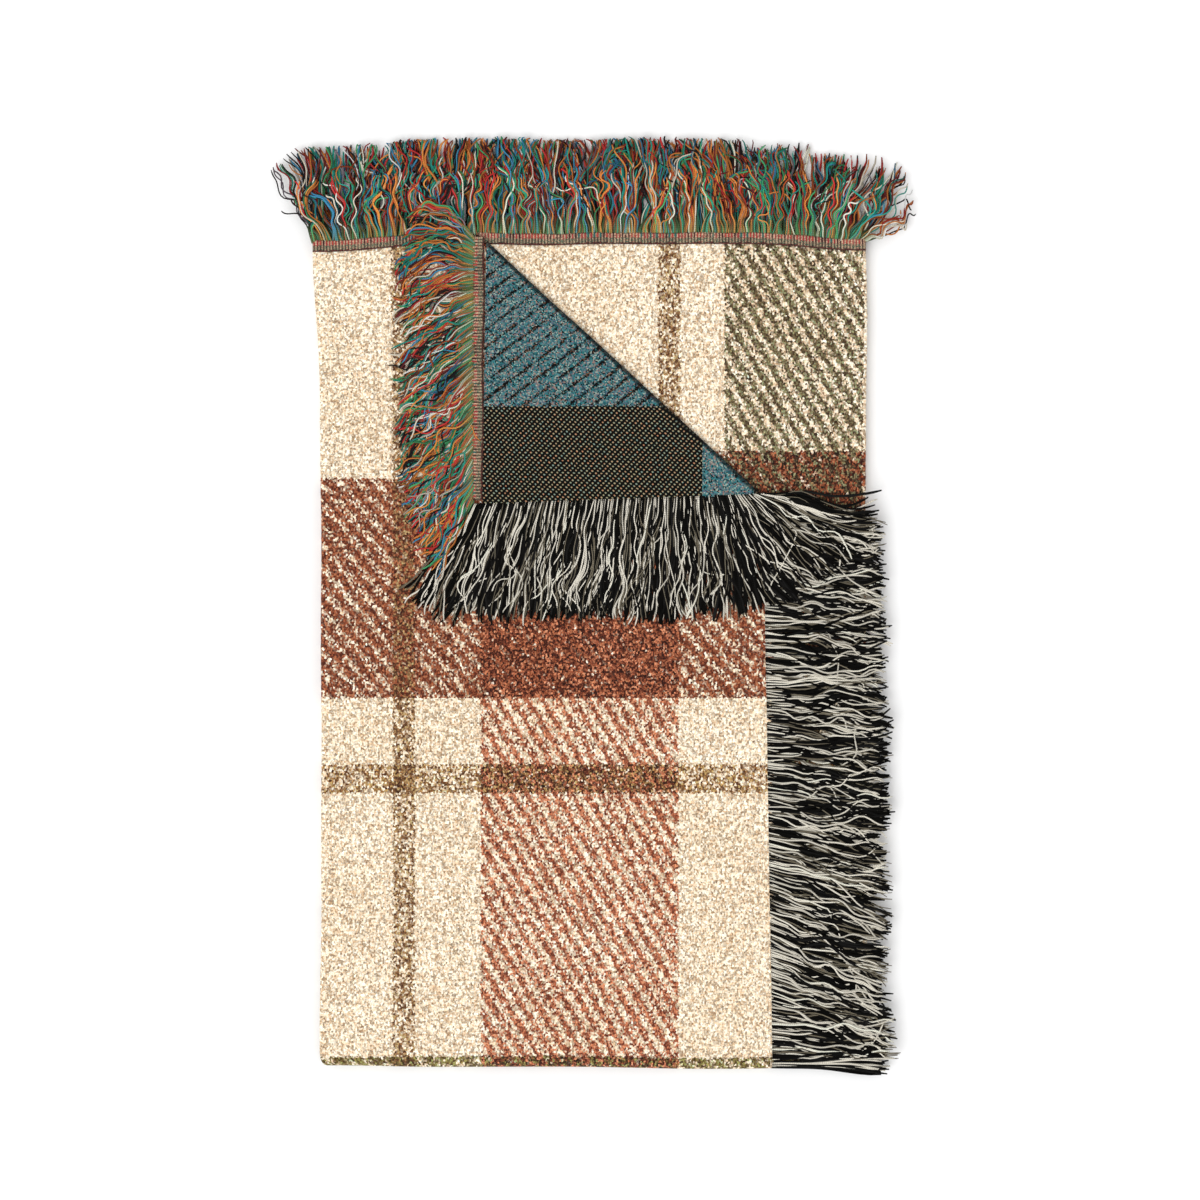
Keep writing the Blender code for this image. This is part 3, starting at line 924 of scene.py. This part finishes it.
def yarn_paths(rng, roots, headings, lengths, heights, tips, style, droop=0.0):
    """Centre lines of loose yarns: they leave their roots in locks that wave together, part and cross.

    Droop is how many degrees each yarn turns on its way from its root to its tip.
    """
    style = STYLES[style]
    count = len(roots)
    stations = style["stations"]
    along = np.linspace(0, 1, stations)
    sizes = rng.integers(style["group"][0], style["group"][1] + 1, count)
    group = np.repeat(np.arange(count), sizes)[:count]
    groups = group[-1] + 1
    firsts = np.concatenate(((0,), np.cumsum(np.bincount(group))[:-1]))
    lengths = 0.35 * lengths + 0.65 * lengths[firsts][group]
    position = np.concatenate(((0,), np.cumsum(np.linalg.norm(np.diff(roots, axis=0), axis=1))))
    ease = smooth(along, 0.0, 0.30)
    stray = rng.random(count) < style["strays"]
    own = style["own"] * np.where(stray, 3.4, 1.0)
    bend = style["sway"] * wander(rng, groups, along, style["fast"])[group]
    bend = bend + style["shared"] * flow(rng, position, along, style["spacing"], style["fast"])
    bend = bend + own[:, None] * wander(rng, count, along, style["fast"])
    bend = bend + (style["curl"] * rng.normal(0, 1, groups))[group][:, None] * along ** 2.5
    theta = headings[:, None] + np.radians(bend) * ease
    theta = theta + np.radians(np.broadcast_to(droop, count))[:, None] * smooth(along, 0.1, 0.95)
    sharp = rng.random(count) < style["kinks"]
    where = rng.uniform(0.35, 0.85, count)
    turn = np.radians(rng.uniform(35, 90, count)) * rng.choice((-1, 1), count) * sharp
    theta += turn[:, None] * smooth(along, where[:, None] - 0.04, where[:, None] + 0.04)
    step = (lengths / (stations - 1))[:, None]
    moves = np.stack((np.cos(theta) * step, np.sin(theta) * step), axis=-1)
    moves = np.concatenate((np.zeros((count, 1, 2)), moves[:, :-1]), axis=1)
    path = roots[:, None, :] + np.cumsum(moves, axis=1)
    members = np.bincount(group, minlength=groups)
    centre = np.zeros((groups, stations, 2))
    np.add.at(centre, group, path)
    centre /= members[:, None, None]
    strength = (rng.uniform(0.1, 1.0, groups) * style["pull"])[group] * np.where(stray, 0.2, 1.0)
    strength = strength[:, None] * np.sin(math.pi * along ** 0.8)
    path = path + (centre[group] - path) * strength[..., None]
    z = heights[:, None] + (tips - heights)[:, None] * smooth(along, 0.05, 1.0)
    lift = 0.8 * rng.random((count, 1)) + 1.2 * stray[:, None]
    z = z + style["weave"] * wander(rng, count, along, 1.6) * ease
    z = z + lift * np.sin(math.pi * along)
    return within(np.concatenate((path, z[..., None]), axis=-1))


REACH_LOW, REACH_HIGH = (stack(corner) for corner in cad_bounds)


def within(paths):
    """Keep yarns above the surface the throw lies on, and crowd their tips where the real ones end."""
    for axis in (0, 1):
        low, high = REACH_LOW[axis] + 1.0, REACH_HIGH[axis] - 2.0
        value = paths[..., axis]
        value = np.where(value < low, low + (value - low) * 0.3, value)
        paths[..., axis] = np.where(value > high, high + (value - high) * 0.3, value)
    paths[..., 2] = np.maximum(paths[..., 2], YARN_RADIUS)
    return paths


def yarn_tubes(name, layers, material):
    """One mesh of round yarns, each with its own colour and its run stored for the twist."""
    paths, radii, colours = zip(*layers)
    parts = [tube_layer(layer, layer_radii) for layer, layer_radii in zip(paths, radii)]
    offsets = np.cumsum([0] + [len(part[0]) for part in parts[:-1]])
    points = np.concatenate([part[0] for part in parts])
    faces = np.concatenate([part[1] + offset for part, offset in zip(parts, offsets)])
    piece = mesh_object(name, points, faces, (material,))
    mesh = piece.data
    tint = mesh.color_attributes.new("yarn", "FLOAT_COLOR", "POINT")
    tints = [np.repeat(colour, layer.shape[1] * SIDES, axis=0) for colour, layer in zip(colours, paths)]
    tint.data.foreach_set("color", np.concatenate(tints).astype(np.float32).ravel())
    rows = sum(len(layer) for layer in paths)
    starts = np.cumsum([0] + [len(layer) for layer in paths[:-1]])
    strips = [(part[3] + (start, 0)) * (1 / rows, 1) for part, start in zip(parts, starts)]
    twist = mesh.uv_layers.new(name="twist")
    twist.data.foreach_set("uv", np.concatenate([part[2] for part in parts]).astype(np.float32).ravel())
    bake = mesh.uv_layers.new(name="OFBake")
    bake.data.foreach_set("uv", np.concatenate(strips)[:, ::-1].astype(np.float32).ravel())
    return piece


def tube_template(stations):
    """One yarn's faces, with the station of each of their corners and its share of the way round."""
    row, side = np.divmod(np.arange((stations - 1) * SIDES), SIDES)
    station = np.stack((row, row, row + 1, row + 1), axis=1)
    around = np.stack((side, side + 1, side + 1, side), axis=1)
    caps = np.repeat((0, 0, stations - 1, stations - 1), 4).reshape(4, 4)
    station = np.concatenate((station, caps))
    around = np.concatenate((around, ((3, 2, 1, 0), (5, 4, 3, 0), (0, 1, 2, 3), (0, 3, 4, 5))))
    return station * SIDES + around % SIDES, station.ravel(), around.ravel() / SIDES


def tube_layer(paths, radii):
    """Points and faces of round yarns, with each corner's place along and round its yarn."""
    count, stations, _ = paths.shape
    paths = settle(paths)
    tangent = np.gradient(paths, axis=1)
    tangent /= np.linalg.norm(tangent, axis=2, keepdims=True) + 1e-9
    side = np.stack((-tangent[..., 1], tangent[..., 0], np.zeros((count, stations))), axis=-1)
    side /= np.linalg.norm(side, axis=2, keepdims=True) + 1e-9
    top = np.cross(tangent, side)
    angle = np.arange(SIDES) * 2 * math.pi / SIDES
    taper = np.ones(stations)
    taper[-1] = 0.55
    reach = radii[:, None] * taper
    ring = side[:, :, None] * np.cos(angle)[:, None] + top[:, :, None] * np.sin(angle)[:, None]
    points = (paths[:, :, None] + ring * reach[:, :, None, None]).reshape(-1, 3)

    corners, station, around = tube_template(stations)
    faces = (np.arange(count)[:, None, None] * stations * SIDES + corners).reshape(-1, 4)
    steps = np.linalg.norm(np.diff(paths, axis=1), axis=2)
    run = np.concatenate((np.zeros((count, 1)), np.cumsum(steps, axis=1)), axis=1)
    strip = pairs(np.arange(count)[:, None] + 0.08 + 0.84 * around, 0.01 + 0.98 * station / (stations - 1))
    return points, faces, pairs(run[:, station] * MM, around), strip


def pick_colours(rng, shares, count):
    """A colour for each yarn, each a little lighter or darker, drawn at random by the shares and not in the
    short runs of the real warp's repeat.
    """
    choice = rng.choice(len(TOP_COLOURS), count, p=np.array(shares) / sum(shares))
    colours = np.array(TOP_COLOURS)[choice]
    colours[:, :3] *= rng.uniform(0.50, 1.55, (count, 1))
    return np.clip(colours, 0, 1)


def warp_tier(half, third, seed):
    """The warp yarns beyond one ply's header."""
    rng = np.random.default_rng(seed)
    upper = half == "upper"
    front = upper and third != "centre"
    left = HIDDEN_EDGE if third == "right" else 0.5
    right = WIDTH - 0.5
    if third == "left":
        right = CREASE_TOP[0] - 8.0 if upper else free_edge(LENGTH)
    pitch = 0.80 if upper else 1.8
    count = int((right - left) / pitch)
    x = np.linspace(left, right, count) + rng.normal(0, 0.4, count)
    roots = np.stack((x, np.full(count, LENGTH + HEADER - 1.5)), axis=1)
    flare = 24 * (1 - smooth(x, 0, 60)) - 34 * smooth(x, WIDTH - 70, WIDTH) ** 2
    flare -= 38 * smooth(x, WIDTH - 18, WIDTH)
    flare *= 1.0 if upper else 0.4
    headings = np.radians(90 + flare * rng.uniform(0.6, 1.1, count) + rng.normal(0, 4, count))
    reach = (44, 66) if front else (68, 90)
    lengths = rng.uniform(*reach, count) * (1 - 0.16 * smooth(x, WIDTH - 140, WIDTH - 10))
    rise = RISE[third] if upper else -RISE[third]
    heights = MIDDLE + rise + rng.uniform(-0.6, 0.3, count)
    tips = 1.2 + (MIDDLE + rise) * 0.62 + rng.uniform(-0.5, 1.6, count)
    paths = yarn_paths(rng, roots, headings, lengths, heights, tips, "warp" if upper else "hidden")
    shares = FRONT_SHARES if front else BACK_SHARES
    radii = rng.uniform(0.47, 0.66, count) if upper else rng.uniform(0.70, 0.90, count)
    colours = pick_colours(rng, shares, count)
    # Painted shade: the back tiers' yarns are drawn darker than the front tiers', for the shade they lie in.
    colours[:, :3] *= 1.1 if front else 0.80
    return yarn_tubes(f"{half}_{third}_warp_yarns", [(paths, radii, colours)], WARP_YARN)


def shade(rng, colour, count):
    """One colour for each yarn, a little lighter or darker."""
    colours = np.repeat(np.array(colour)[None, :], count, axis=0)
    colours[:, :3] *= rng.uniform(0.7, 1.1, (count, 1))
    colours[:, :3] += 0.012 * rng.random((count, 1)) ** 3
    return np.clip(colours, 0, 1)


def weft_fringe(name, seed, start, end, counts, turn, lengths, height, drop, between=None):
    """Close black yarns in two layers between cream ones, none past the half fold's axis.

    The roots lie between two places, turn gives their headings in degrees, and between is the space left
    for the yarns, as the heights of its floor and its ceiling.
    """
    rng = np.random.default_rng(seed)
    black, cream = counts[0] // 2, counts[1]
    layers = []
    for count, above, style, colour, radius, spread in (
        (cream * 2 // 3, -0.75, "cream", WEFT_CREAM, 0.70, 0.3),
        (black, 0.0, "black", WEFT_BLACK, 1.12, 0.3),
        (black, 0.2, "black", WEFT_BLACK, 0.90, 0.3),
        # Painted shade: cream yarns half hidden among the black ones, drawn grey.
        (cream, 0.5, "black", WEFT_SHADED_CREAM, 0.50, 0.6),
        (cream, 0.8, "cream", WEFT_CREAM, 0.70, 0.9),
    ):
        share = np.clip(np.linspace(0, 1, count) + rng.normal(0, 0.25 / count, count), 0, 1)
        roots = start + share[:, None] * (end - start)
        headings = np.radians(turn(share) + rng.normal(0, 3.5, count))
        heights = height + above + rng.uniform(-spread, 0.3, count)
        paths = yarn_paths(rng, roots, headings, rng.uniform(*lengths, count), heights, heights - drop, style)
        paths[..., 1] = np.maximum(paths[..., 1], HINGE_Y + CLEAR_OF_HINGE)
        if between:
            paths[..., 2] = np.clip(paths[..., 2], between[0] + radius, between[1] - radius)
        layers.append((paths, radius * rng.uniform(0.88, 1.1, count), shade(rng, colour, count)))
    return yarn_tubes(name, layers, WEFT_YARN)


def side_wefts():
    """The left third's weft fringes: the upper one fans out at the flap, the lower one lies beneath."""
    crease_foot = ends("upper_left_weft_fringe")[1][1]
    low_edge = np.array((free_edge(HINGE_Y) - 1.0, HINGE_Y + 1.0))
    high_edge = np.array((free_edge(crease_foot) - 1.0, crease_foot))
    far_edge = np.array((free_edge(LENGTH) - 12.0, LENGTH - 1.0))

    def upper_turn(share):
        return np.interp(share, (0, 0.05, 0.13, 0.22, 0.32, 0.42, 0.6, 0.85, 1.0),
                         (-1, -7, -18, -24, -18, -9, -5, -4, -13))

    def lower_turn(share):
        return np.full(len(share), -3.0)

    yield "upper", weft_fringe("upper_left_weft_yarns", 130, low_edge, high_edge, (600, 270), upper_turn,
                               (86, 104), MIDDLE + RISE["left"] + 0.2, 0.3)
    yield "lower", weft_fringe("lower_left_weft_yarns", 131, low_edge - (5.0, 0), far_edge, (330, 60),
                               lower_turn, (76, 90), MIDDLE - RISE["left"], 0.0)


def lay_fringes():
    """Every fringe of the two halves, the half fold and the turned corner."""
    for half_index, half in enumerate(HALVES):
        for third_index, third in enumerate(THIRDS):
            piece = warp_tier(half, third, 100 + 10 * half_index + third_index)
            place = f"{half}_{third}"
            attach(piece, f"{half}_half", "warp_yarn", f"{place}_warp_fringe", cloth=f"{place}_cloth")
    for half, piece in side_wefts():
        attach(piece, f"{half}_half", "weft_yarn", f"{half}_left_weft_fringe", cloth=f"{half}_left_cloth")
    for half, side, seed in (("lower", -1, 148), ("upper", 1, 155)):
        piece = hidden_row(half, MIDDLE + side * RISE["right"], seed)
        attach(piece, f"{half}_half", "weft_yarn", f"{half}_right_weft_fringe", cloth=f"{half}_right_cloth")
    for third, seed in (("left", 154), ("right", 155)):
        piece = fold_row(third, seed)
        attach_to_fold(piece, third, f"{third}_half_fold_fringe")
        EXTRAS[f"{third}_half_fold_cloth"] = [piece]
    for kind, piece in (("warp", corner_warp()), ("weft", corner_weft())):
        attach(piece, "turned_corner", f"{kind}_yarn", f"corner_{kind}_fringe", cloth="corner_cloth")


def pressed_paths(rng, roots, headings, lengths, heights):
    """Yarns that lie flat between two plies."""
    paths = yarn_paths(rng, roots, headings, lengths, heights, heights, "pressed")
    paths[..., 2] = heights[:, None]
    return paths


def hidden_row(half, height, seed):
    """The right third's weft yarns, pressed flat between two plies."""
    rng = np.random.default_rng(seed)
    count = int((LENGTH - HINGE_Y) / 3.2)
    y = np.linspace(HINGE_Y + 1, LENGTH - 1, count)
    roots = np.stack((np.full(count, HIDDEN_EDGE + 1.0), y), axis=1)
    headings = np.radians(180 + rng.normal(0, 6, count))
    paths = pressed_paths(rng, roots, headings, rng.uniform(78, 88, count), np.full(count, height))
    paths[..., 1] = np.maximum(paths[..., 1], HINGE_Y + CLEAR_OF_HINGE)
    layer = (paths, np.full(count, 0.8), mixed(rng, count))
    return yarn_tubes(f"{half}_right_weft_yarns", [layer], WEFT_YARN)


def mixed(rng, count):
    """Black yarns with a cream one here and there."""
    cream = rng.random(count) < 0.4
    return np.where(cream[:, None], shade(rng, WEFT_CREAM, count), shade(rng, WEFT_BLACK, count))


def fold_row(third, seed):
    """The weft yarns whose roots go round the half fold."""
    rng = np.random.default_rng(seed)
    reach = RISE[third]
    left = third == "left"
    count = 40 if left else 8
    turn = np.radians(np.linspace(84, -84, count))
    edge = LEFT_EDGE - 1.0 if left else HIDDEN_EDGE + 1.0
    roots = np.stack((np.full(count, edge), HINGE_Y - reach * np.cos(turn)), axis=1)
    headings = np.radians(rng.normal(-4, 5, count)) + (0 if left else math.pi)
    lengths = rng.uniform(84, 98, count) if left else rng.uniform(70, 84, count)
    paths = pressed_paths(rng, roots, headings, lengths, MIDDLE + reach * np.sin(turn))
    loose = 0.45 + 0.65 * smooth(paths[..., 0], WIDTH - 50, WIDTH + 20) if left else 0.04
    paths[..., 1] = roots[:, None, 1] + (paths[..., 1] - roots[:, None, 1]) * loose
    layer = (paths, np.full(count, 0.95 if left else 0.7), mixed(rng, count))
    return yarn_tubes(f"{third}_half_fold_yarns", [layer], WEFT_YARN)


def corner_warp():
    """The flap's warp yarns: up and left at the crease, left along the side, down at the corner."""
    rng = np.random.default_rng(160)
    foot = np.array((FLAP_LEFT - HEADER + 1.5, FLAP_LOW - 3))
    head = np.array((CREASE_TOP[0] - HEADER, CREASE_TOP[1] + 4))
    layers = []
    for count, height, reach in ((390, FLAP_HEIGHT - 0.2, (60, 72)), (390, FLAP_HEIGHT + 0.3, (52, 70))):
        share = 1 - np.linspace(1, 0, count) ** 1.3
        roots = foot + share[:, None] * (head - foot) + rng.normal(0, 0.4, (count, 2))
        turn = np.interp(share, (0, 0.07, 0.2, 0.5, 0.75, 0.88, 0.95, 1.0),
                         (244, 238, 232, 220, 206, 178, 152, 132))
        droop = np.interp(share, (0, 0.5, 0.75, 0.9, 1.0), (0, 0, 14, 46, 72))
        longer = np.interp(share, (0, 0.12, 0.3, 0.5, 0.75, 1.0), (1.0, 1.12, 1.22, 1.2, 1.08, 0.95))
        headings = np.radians(turn + rng.normal(0, 4, count))
        heights = height + rng.uniform(-0.4, 0.4, count)
        tips = MIDDLE + RISE["left"] + 1.7 + 1.6 * rng.random(count)
        lengths = rng.uniform(*reach, count) * longer
        paths = yarn_paths(rng, roots, headings, lengths, heights, tips, "combed", droop)
        radii = rng.uniform(0.50, 0.72, count)
        colours = pick_colours(rng, FRONT_SHARES, count)
        # Painted shade on the flap's warp yarns.
        colours[:, :3] *= FLAP_PAINTED_SHADE
        layers.append((paths, radii, colours))
    return yarn_tubes("corner_warp_yarns", layers, WARP_YARN)


def corner_weft():
    """The flap's weft yarns: they hang from its free edge and sweep right at the crease's foot."""
    start = np.array((FLAP_LEFT - 8.0, FLAP_FOOT[1] + 1.0))
    end_x = ends("corner_flap")[1][0] + 1.0
    end = np.array((end_x, FLAP_FOOT[1] + FLAP_RISE * (end_x - FLAP_LEFT) + 1.0))

    top_ply, next_ply = MIDDLE + RISE["left"], MIDDLE + RISE["right"]
    between = (top_ply + 0.8, 2 * CREASE_TOP[2] - next_ply - 1.1)

    def turn(share):
        return np.interp(share, (0, 0.05, 0.3, 0.6, 0.8, 0.88, 0.94, 0.975, 1.0),
                         (240, 250, 259, 264, 276, 292, 314, 334, 354))

    return weft_fringe("corner_weft_yarns", 170, start, end, (580, 160), turn, (82, 104), FLAP_HEIGHT - 0.15,
                       0.0, between)


# ---- camera, light and floor ----
VIEW_WIDTH = 0.960
LENS = 85.0
SENSOR = 36.0


def set_stage():
    """A plain white floor, soft light from all round, and the camera straight above."""
    scene = bpy.context.scene
    scene.view_settings.view_transform = "Standard"

    floor_mesh = bpy.data.meshes.new("floor")
    reach = 15.0
    floor_mesh.from_pydata([(-reach, -reach, 0), (reach, -reach, 0), (reach, reach, 0), (-reach, reach, 0)],
                           [], [(0, 1, 2, 3)])
    floor = bpy.data.objects.new("floor", floor_mesh)
    floor.location.z = -0.0003
    scene.collection.objects.link(floor)
    paper = Graph("floor")
    place = paper.outputs(paper.node("ShaderNodeTexCoord"))["Object"]
    grain = paper.noise(place, 3.0, dimensions="3D")["Fac"]
    tone = paper.mix(grain, (0.90, 0.90, 0.90, 1), (0.92, 0.92, 0.92, 1))
    floor_mesh.materials.append(paper.finish(tone, paper.bump(grain, 0.0001, 0.05), sheen=0.0))

    world = bpy.data.worlds.new("studio")
    world.use_nodes = True
    world.node_tree.nodes["Background"].inputs["Color"].default_value = (1, 1, 1, 1)
    world.node_tree.nodes["Background"].inputs["Strength"].default_value = 0.80
    scene.world = world

    key = bpy.data.lights.new("key", "SUN")
    key.energy = 1.7
    key.angle = math.radians(45)
    lamp = bpy.data.objects.new("key", key)
    lamp.rotation_euler = (math.radians(28), math.radians(-26), 0)
    scene.collection.objects.link(lamp)

    centre = to_world((224.0, 375.2, MIDDLE * 2))
    lens = bpy.data.cameras.new("camera")
    lens.lens = LENS
    lens.sensor_width = SENSOR
    camera = bpy.data.objects.new("camera", lens)
    camera.location = (centre[0], centre[1], centre[2] + VIEW_WIDTH * LENS / SENSOR)
    scene.collection.objects.link(camera)
    scene.camera = camera


# ---- all of it ----
set_stage()
lay_panels()
lay_wraps()
lay_corner()
for half_name in HALVES:
    lay_header(half_name)
lay_corner_header()
lay_fringes()

# The turned corner is nearly a right-angled triangle on the crease, in square metres.
CORNER_AREA = 0.5 * 0.202 * 0.223
for sheet_name, (sheet, (flat_width, flat_length)) in SHEETS.items():
    area = None
    if sheet_name == "corner_cloth":
        area = CORNER_AREA
    if sheet_name == "upper_left_cloth":
        area = flat_width * flat_length * MM * MM - CORNER_AREA
    flat_width * MM
    flat_length * MM
    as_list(EXTRAS.get(sheet_name, []))
